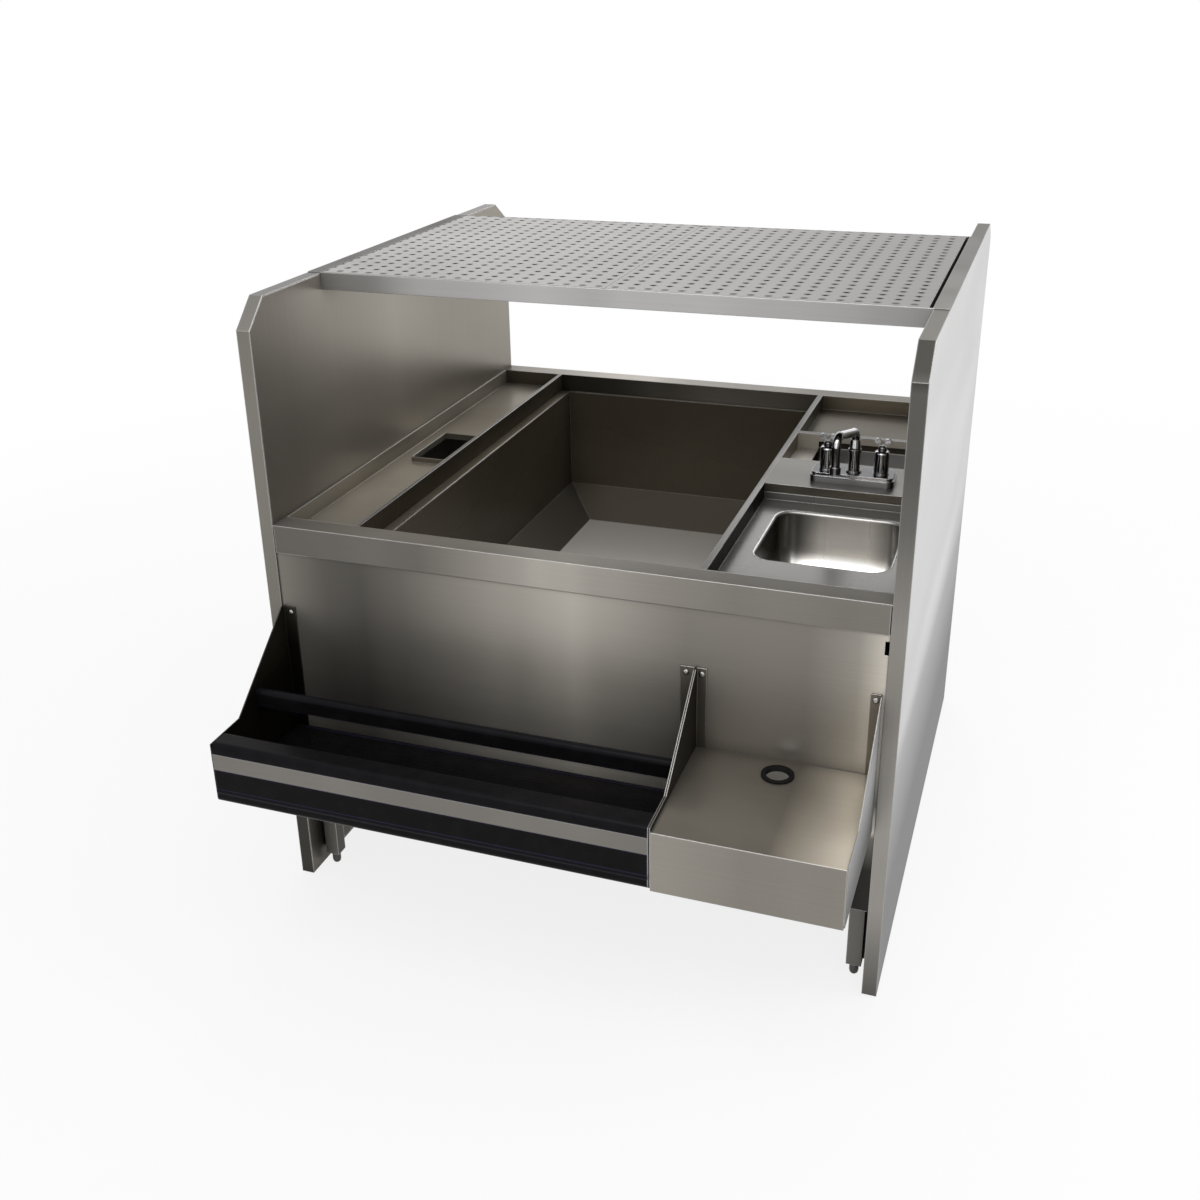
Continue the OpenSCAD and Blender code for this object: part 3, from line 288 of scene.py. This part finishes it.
def steel(name, top, front=None, side=None, rough=0.3, along="x", var=0.08, band=0.10,
          radius=0.0025, light=0.60, crease_shade=0.35, reach=0.05, bump=0.05, metal=0.7,
          graze=0.5, sharp=2.0, hole_shade=False, **fades):
    """Brushed sheet: fine grain along one axis, slow bands across it, painted highlights on
    its bends and painted shade in its creases.

    The tones top, front and side are painted light and shade for faces that look up, forward
    and sideways.
    """
    mat, nt, bsdf = new_mat(name)
    coord = object_coord(nt)
    grain = noise(nt, coord, GRAIN[along], 4.0, 0.6)
    slow = noise(nt, coord, BANDS[along], 2.0, 0.5, 0.4)
    tones = (top, front or top, side or front or top)
    tone = painted_light_by_facing(nt, coord, tones, fades, sharp)
    # Painted shade round the inserts' drain holes
    if hole_shade:
        tone = painted_hole_shade(nt, coord, tone)
    tone = mix_rgb(nt, 1.0, tone, ramp(nt, grain, [(0.3, 1 - var), (0.7, 1.0)]), "MULTIPLY")
    tone = mix_rgb(nt, 1.0, tone, ramp(nt, slow, [(0.34, 1 - 2 * band), (0.66, 1.0)]),
                   "MULTIPLY")
    tone, soft = painted_bends_and_creases(nt, tone, radius, tuple(light * c for c in BEND_HIGHLIGHT_HUE), crease_shade, reach)
    nt.links.new(tone, bsdf.inputs["Base Color"])
    bsdf.inputs["Metallic"].default_value = metal
    bsdf.inputs["Specular IOR Level"].default_value = 0.2
    bsdf.inputs["Specular Tint"].default_value = (graze, graze, graze, 1)
    nt.links.new(ramp(nt, slow, [(0.3, rough * 0.9), (0.7, rough * 1.15)]),
                 bsdf.inputs["Roughness"])
    bumped(nt, bsdf, grain, bump, soft)
    return mat


def chrome(name, stops, tint, rough=0.06, crease_shade=0.15):
    """Polished plating: painted reflections, dark and bright by turns as the surface curves
    away, with painted highlights on its edges and painted shade in its creases.
    """
    mat, nt, bsdf = new_mat(name)
    haze = noise(nt, object_coord(nt), (60, 60, 60), 4.0, 0.6)
    nt.links.new(ramp(nt, haze, [(0.35, rough), (0.75, rough * 2.2)]),
                 bsdf.inputs["Roughness"])
    turned = nt.nodes.new("ShaderNodeLayerWeight")
    turned.inputs["Blend"].default_value = 0.5
    tone = ramp(nt, turned.outputs["Facing"],
                [(position, tuple(level * c for c in tint)) for position, level in stops])
    bright = tuple(min(1.0, 0.85 * c) for c in tint)
    tone, soft = painted_bends_and_creases(nt, tone, radius=0.0012, light=bright, crease_shade=crease_shade, reach=0.03)
    nt.links.new(tone, bsdf.inputs["Base Color"])
    bsdf.inputs["Metallic"].default_value = 1.0
    nt.links.new(soft, bsdf.inputs["Normal"])
    return mat


def plastic(name, color, rough, spec=0.05, light=(0.05, 0.045, 0.10),
            grain=(6, 400, 400), radius=0.003):
    """Moulded plastic with faint flow lines, dust, painted highlights on its edges and painted
    shade in its creases.
    """
    mat, nt, bsdf = new_mat(name)
    coord = object_coord(nt)
    streak = noise(nt, coord, grain, 4.0, 0.6)
    dust = noise(nt, coord, (25, 25, 25), 6.0, 0.65)
    dusty = tuple(1.8 * c for c in color)
    tone = mix_rgb(nt, ramp(nt, dust, [(0.45, 0.0), (0.85, 1.0)]), color, dusty)
    tone, soft = painted_bends_and_creases(nt, tone, radius, light, crease_shade=0.3, reach=0.04)
    nt.links.new(tone, bsdf.inputs["Base Color"])
    nt.links.new(ramp(nt, streak, [(0.3, rough * 0.85), (0.7, rough * 1.2)]),
                 bsdf.inputs["Roughness"])
    bsdf.inputs["Specular IOR Level"].default_value = spec
    bumped(nt, bsdf, streak, 0.04, soft)
    return mat


def foam(name):
    """Yellowish rigid foam with small cells."""
    mat, nt, bsdf = new_mat(name)
    cells = noise(nt, object_coord(nt), (300, 300, 300), 5.0, 0.7)
    nt.links.new(mix_rgb(nt, cells, (0.72, 0.64, 0.40), (0.86, 0.80, 0.56)),
                 bsdf.inputs["Base Color"])
    bsdf.inputs["Roughness"].default_value = 0.9
    bumped(nt, bsdf, cells, 0.4, depth=0.001)
    return mat


# Steel tones: the top, front and side tones and the fades below are painted light, shade and
# reflections
MATERIALS = {
    # Side panels, front and back
    # Painted light: the right skin's outer side pale and darker towards the bottom, its front
    # lighter and darker along the height; the left skin's front darker towards the bottom in
    # painted shade
    "left_skin": steel("left_skin_steel", warm(0.34), warm(0.24, 0.15), warm(0.28), 0.34,
                       "z", front_fade=[("z", (0.3, 0.25), (0.6, 1.0))]),
    "right_skin": steel("right_skin_steel", warm(0.16), warm(0.22, 0.2), warm(0.86), 0.38,
                        "z", front_fade=[("z", (0.02, 0.72), (0.19, 1.65), (0.38, 1.8),
                                          (0.55, 1.4), (0.71, 1.45), (0.88, 0.76),
                                          (0.98, 0.56), (1.09, 0.60), (1.12, 0.13))],
                        side_fade=[("z", (0.2, 0.30), (0.33, 0.48), (0.45, 0.64),
                                    (0.51, 0.95), (0.58, 1.08))]),
    # Painted light and shade: the liners' sides lighter and darker along the depth, darker low
    # down
    "liner": steel("liner_steel", warm(0.46, 0.15), warm(0.46, 0.15), warm(0.46, 0.13), 0.32,
                   "z", side_fade=[("y", (-0.40, 0.55), (-0.31, 0.65), (-0.16, 1.0),
                                    (0.09, 1.35), (0.30, 1.1), (0.50, 1.0)),
                                   ("z", (0.72, 0.8), (0.86, 1.0))]),
    # Painted reflections across the front panel's width; along its height a painted shade
    # below the rail and a pale painted reflection band behind it
    "face": steel("face_steel", warm(0.29, 0.15), rough=0.34, band=0.06, metal=0.55,
                  front_fade=[("x", (-0.54, 0.80), (-0.45, 0.44), (-0.38, 0.38),
                               (-0.30, 0.62), (-0.13, 1.4), (0.02, 1.9), (0.12, 1.4),
                               (0.22, 0.95), (0.42, 0.85), (0.50, 1.25), (0.54, 2.2)),
                              ("z", (0.26, 0.05), (0.325, 0.3), (0.345, 1.6),
                               (0.365, 1.6), (0.39, 0.5), (0.42, 0.8), (0.47, 1.0),
                               (0.52, 1.0))]),
    "back": steel("back_steel", warm(0.38), rough=0.34, band=0.08),
    # Deck: rim, faucet deck, dividers, trays and well
    # Painted reflections: the rim's top and front lighter and darker across the width and
    # depth
    "rim": steel("rim_steel", warm(0.30, 0.18), warm(0.20, 0.16), warm(0.14, 0.1),
                 top_fade=[("x", (-0.55, 1.2), (-0.2, 1.9), (0.30, 0.9), (0.55, 0.9))],
                 front_fade=[("y", (0.30, 1.0), (0.60, 0.6)),
                             ("x", (-0.55, 0.80), (-0.26, 0.97), (-0.05, 2.5), (0.30, 1.25),
                              (0.55, 1.15))]),
    "deck": steel("deck_steel", warm(0.26), warm(0.16, 0.08), warm(0.08, 0.05)),
    "divider": steel("divider_steel", warm(0.40), warm(0.10, 0.04), warm(0.05, 0.015),
                     along="y", graze=0.1),
    # Painted light: a copy of the divider steel with a paler side and less painted shade in
    # its creases
    "tray_divider": steel("tray_divider_steel", warm(0.40), warm(0.10, 0.04),
                          warm(0.14, 0.02), along="y", graze=0.1, crease_shade=0.5),
    # Painted light: the tray's top lighter in the middle of its depth; the rear tray is a copy
    # with its own lit and shaded tones
    "tray": steel("tray_steel", warm(0.58, 0.10), warm(0.20, 0.06), warm(0.34, 0.10),
                  along="y", metal=0.5,
                  top_fade=[("y", (-0.38, 0.7), (0.1, 1.1), (0.6, 0.7))]),
    "rear_tray": steel("rear_tray_steel", warm(0.20, 0.12), warm(0.50, 0.05),
                       warm(0.20, 0.05), along="y"),
    # Painted light: the well's tones raised far above the other steel, with no painted shade
    # in its creases
    "well": steel("well_steel", warm(0.90, 0.16), warm(0.90, 0.14), warm(0.26, 0.06), 0.34,
                  "y", metal=0.1, crease_shade=1.0),
    # Ice bin
    # Painted light and shade: the bin's floor pale, its walls near black, the sides lighter
    # towards the front
    "bin": steel("bin_steel", warm(0.97, 0.22), warm(0.17, 0.022), warm(0.08, 0.018), 0.28,
                 "z", band=0.05, reach=0.10, sharp=5.0, metal=0.12, graze=0.1,
                 side_fade=[("y", (-0.2, 1.5), (0.08, 1.0))]),
    "ledge": steel("ledge_steel", warm(0.40, 0.05), warm(0.24, 0.03), warm(0.20, 0.03),
                   along="y"),
    # Drain shelf
    # Painted light: the inserts' top brighter on the left than on the right
    "insert": steel("insert_steel", (0.35, 0.341, 0.331), warm(0.28), rough=0.42, band=0.05,
                    radius=0.0008, light=0.7, metal=0.6, hole_shade=True,
                    top_fade=[("x", (-0.55, 1.42), (0.55, 0.72))]),
    # Painted reflections: the shelf's front lighter in the middle of its width
    "shelf": steel("shelf_steel", warm(0.34), warm(0.42), warm(0.03), 0.34, graze=0.1,
                   front_fade=[("x", (-0.55, 0.65), (-0.35, 1.2), (0.1, 1.2),
                                (0.55, 0.8))]),
    # Sink
    "plate": steel("plate_steel", warm(0.38), warm(0.28), warm(0.05, 0.02), 0.26, bump=0.03,
                   graze=0.2),
    # Painted light: the bowl's floor pale, its faces a painted highlight low down and painted
    # shade towards the corners
    "bowl": steel("bowl_steel", warm(1.0), warm(0.68, 0.2), warm(0.05, 0.02), 0.24,
                  bump=0.02, band=0.03, crease_shade=0.6, reach=0.02, metal=0.6, graze=0.3,
                  light=0.4, sharp=1.2,
                  front_fade=[("x", (0.29, 0.15), (0.32, 0.28), (0.36, 1.1), (0.45, 1.1),
                               (0.49, 0.45)),
                              ("z", (0.62, 1.9), (0.66, 1.15), (0.72, 0.8))]),
    # Box shelf, brackets, rail end, frame, jacket and stripe
    # Painted light: the box's top much lighter at its right end, its front lighter at its left
    # end
    "box": steel("box_steel", warm(0.30, 0.11), warm(0.28, 0.14), warm(0.02), graze=0.1,
                 top_fade=[("x", (0.24, 0.95), (0.42, 0.85), (0.54, 3.4))],
                 front_fade=[("x", (0.24, 1.35), (0.38, 1.0), (0.54, 1.0))]),
    "bracket": steel("bracket_steel", warm(0.18, 0.08), warm(0.18, 0.08), warm(0.10, 0.06),
                     0.32, "z", graze=0.1),
    # Painted light: a copy of the bracket steel whose outer side is pale and darker towards
    # the bottom
    "bracket_right": steel("bracket_right_steel", warm(0.18, 0.08), warm(0.18, 0.08),
                           warm(0.85), 0.32, "z", graze=0.1,
                           side_fade=[("z", (0.36, 0.4), (0.47, 1.0))]),
    # Painted shade: a near-black copy of the bracket steel for the left rail end, with painted
    # light higher up
    "shaded_rail_end": steel("rail_end_shaded_steel", warm(0.020), warm(0.04), warm(0.020), 0.40, "z",
                  light=0.10, graze=0.1, side_fade=[("z", (0.47, 1.0), (0.54, 2.8))],
                  front_fade=[("z", (0.52, 0.4), (0.60, 1.6))]),
    "galv": steel("galvanised_steel", warm(0.20), warm(0.20), warm(0.16), 0.45, "y",
                  var=0.18),
    "jacket": steel("jacket_steel", warm(0.03), rough=0.45, along="y", light=0.1,
                    graze=0.1),
    "stripe": steel("stripe_steel", warm(0.24, 0.18), rough=0.38, light=0.3),
    # Faucet, feet, drains, screws and nuts
    "chrome": chrome("chrome", PLATED, (1.0, 1.0, 1.04)),
    "foot": chrome("foot_steel", DULLED, (1.0, 0.97, 0.92), 0.25, 0.3),
    "fitting": chrome("fitting_steel", TURNED, (1.0, 0.98, 0.95), 0.18, 0.3),
    "brass": chrome("brass", TURNED, (1.0, 0.72, 0.30), 0.20, 0.3),
    # Rail, grommet and insulation
    "black": plastic("rail_black", (0.006, 0.0056, 0.0062), 0.26),
    "rubber": plastic("rubber_black", (0.004, 0.004, 0.004), 0.55, 0.15, (0.01, 0.01, 0.01),
                      (90, 90, 90), 0.001),
    "foam": foam("foam"),
}

CORNERS = [f"{end}_{side}" for end in ("front", "rear") for side in ("left", "right")]

# The pieces that wear each material
PIECES = {
    "left_skin": ["left_panel_skin"],
    "right_skin": ["right_panel_skin"],
    "liner": ["left_panel_liner", "right_panel_liner"],
    "shelf": ["shelf_pan"],
    "insert": ["perforated_insert_left", "perforated_insert_right"],
    "rim": ["deck_frame"],
    "tray": ["left_tray"],
    "tray_divider": ["tray_divider"],
    "divider": ["sink_divider", "cross_rail"],
    "bin": ["ice_bin_liner"],
    "ledge": ["ice_bin_ledge"],
    "foam": ["ice_bin_insulation"],
    "jacket": ["ice_bin_jacket"],
    "rear_tray": ["rear_tray"],
    "well": ["chase_well"],
    "deck": ["faucet_deck"],
    "plate": ["sink_plate"],
    "bowl": ["sink_bowl"],
    "chrome": ["faucet_base", "spout_nut", "spout", "aerator", "cold_bonnet", "hot_bonnet",
               "cold_handle", "hot_handle"],
    "fitting": ["ice_bin_drain", "ice_bin_strainer", "sink_drain", "sink_strainer",
                "rail_screws", "shelf_screws"],
    "brass": ["ice_bin_locknut", "sink_locknut", "supply_shanks", "shank_nuts"],
    "face": ["front_panel"],
    "back": ["rear_panel"],
    "black": ["rail_trough", "rail_bar"],
    "stripe": ["rail_stripe"],
    "shaded_rail_end": ["rail_end_left"],
    "bracket": ["rail_end_right", "shelf_bracket_left"],
    "bracket_right": ["shelf_bracket_right"],
    "box": ["box_shelf"],
    "rubber": ["grommet"],
    "galv": ["base_rail_left", "base_rail_right"] + [f"leg_post_{c}" for c in CORNERS],
    "foot": [f"foot_{c}" for c in CORNERS],
}
for look, names in PIECES.items():
    for name in names:
        slots = NODES[name].data.materials
        slots.clear()
        slots.append(MATERIALS[look])


# ------------------------------------------------------------- camera, light

def linked(name, data):
    """A new object in the scene."""
    obj = bpy.data.objects.new(name, data)
    bpy.context.scene.collection.objects.link(obj)
    return obj


def camera():
    """The photo's camera, solved from the unit's own edges."""
    cam = bpy.data.cameras.new("camera")
    obj = linked("camera", cam)
    turn = Matrix((RIGHT, -DOWN, -FORWARD)).transposed().to_4x4()
    obj.matrix_world = Matrix.Translation(Vector(EYE)) @ turn
    cam.sensor_width = SENSOR_MM
    cam.lens = FOCAL / PHOTO_WIDTH * SENSOR_MM
    cam.shift_x = (PHOTO_WIDTH / 2 - PHOTO_CENTRE[0]) / PHOTO_WIDTH
    cam.shift_y = -(PHOTO_WIDTH / 2 - PHOTO_CENTRE[1]) / PHOTO_WIDTH
    cam.clip_start = 0.05
    cam.clip_end = 60
    bpy.context.scene.camera = obj


def lamp(name, place, target, size, watts):
    """A rectangular lamp pointed at the target."""
    light = bpy.data.lights.new(name, "AREA")
    light.shape = "RECTANGLE"
    light.size, light.size_y = size
    light.energy = watts
    obj = linked(name, light)
    obj.location = place
    aim = Vector(target) - Vector(place)
    obj.rotation_euler = aim.to_track_quat("-Z", "Y").to_euler()


def seen(nt):
    """1 for what the camera, a mirror or clear glass shows, 0 for the light itself."""
    path = nt.nodes.new("ShaderNodeLightPath")
    rays = [path.outputs[k] for k in ("Is Camera Ray", "Is Glossy Ray", "Is Transmission Ray")]
    return maths(nt, "MAXIMUM", maths(nt, "MAXIMUM", rays[0], rays[1]), rays[2])


def mixed(nt, fac, first, second, out):
    """Mix of two shaders into an output node."""
    node = nt.nodes.new("ShaderNodeMixShader")
    nt.links.new(fac, node.inputs["Fac"])
    nt.links.new(first.outputs[0], node.inputs[1])
    nt.links.new(second.outputs[0], node.inputs[2])
    nt.links.new(node.outputs[0], out.inputs["Surface"])


def stage():
    """Pale floor that keeps the object's shadow and turns white away from the object."""
    bm = bmesh.new()
    corners = [bm.verts.new((x * FLOOR_HALF, y * FLOOR_HALF, 0))
               for x, y in ((-1, -1), (1, -1), (1, 1), (-1, 1))]
    bm.faces.new(corners)
    mesh = bpy.data.meshes.new("floor")
    bm.to_mesh(mesh)
    bm.free()
    obj = linked("floor", mesh)
    mat, nt, bsdf = new_mat("floor_white")
    bsdf.inputs["Base Color"].default_value = FLOOR_TONE
    bsdf.inputs["Roughness"].default_value = 0.9
    bsdf.inputs["Specular IOR Level"].default_value = 0.0
    white = nt.nodes.new("ShaderNodeEmission")
    white.inputs["Color"].default_value = (1, 1, 1, 1)
    white.inputs["Strength"].default_value = 1.0
    away = vectors(nt, "LENGTH", object_coord(nt))
    share = ramp(nt, maths(nt, "DIVIDE", away, FLOOR_REACH), FLOOR_WHITE)
    out = next(n for n in nt.nodes if n.type == "OUTPUT_MATERIAL")
    mixed(nt, maths(nt, "MULTIPLY", seen(nt), share), bsdf, white, out)
    mesh.materials.append(mat)


def background(nt, level):
    """Plain grey or white background shader."""
    node = nt.nodes.new("ShaderNodeBackground")
    node.inputs["Color"].default_value = (level, level, level, 1)
    return node


def world():
    """White for the camera and for what the steel mirrors; a softer light for the rest."""
    sky = bpy.data.worlds.new("studio")
    bpy.context.scene.world = sky
    sky.use_nodes = True
    nt = sky.node_tree
    nt.nodes.clear()
    out = nt.nodes.new("ShaderNodeOutputWorld")
    mixed(nt, seen(nt), background(nt, SOFT_LIGHT), background(nt, WHITE), out)


camera()
stage()
world()
for one in LAMPS:
    lamp(*one)

bpy.context.scene.view_settings.view_transform = "Standard"
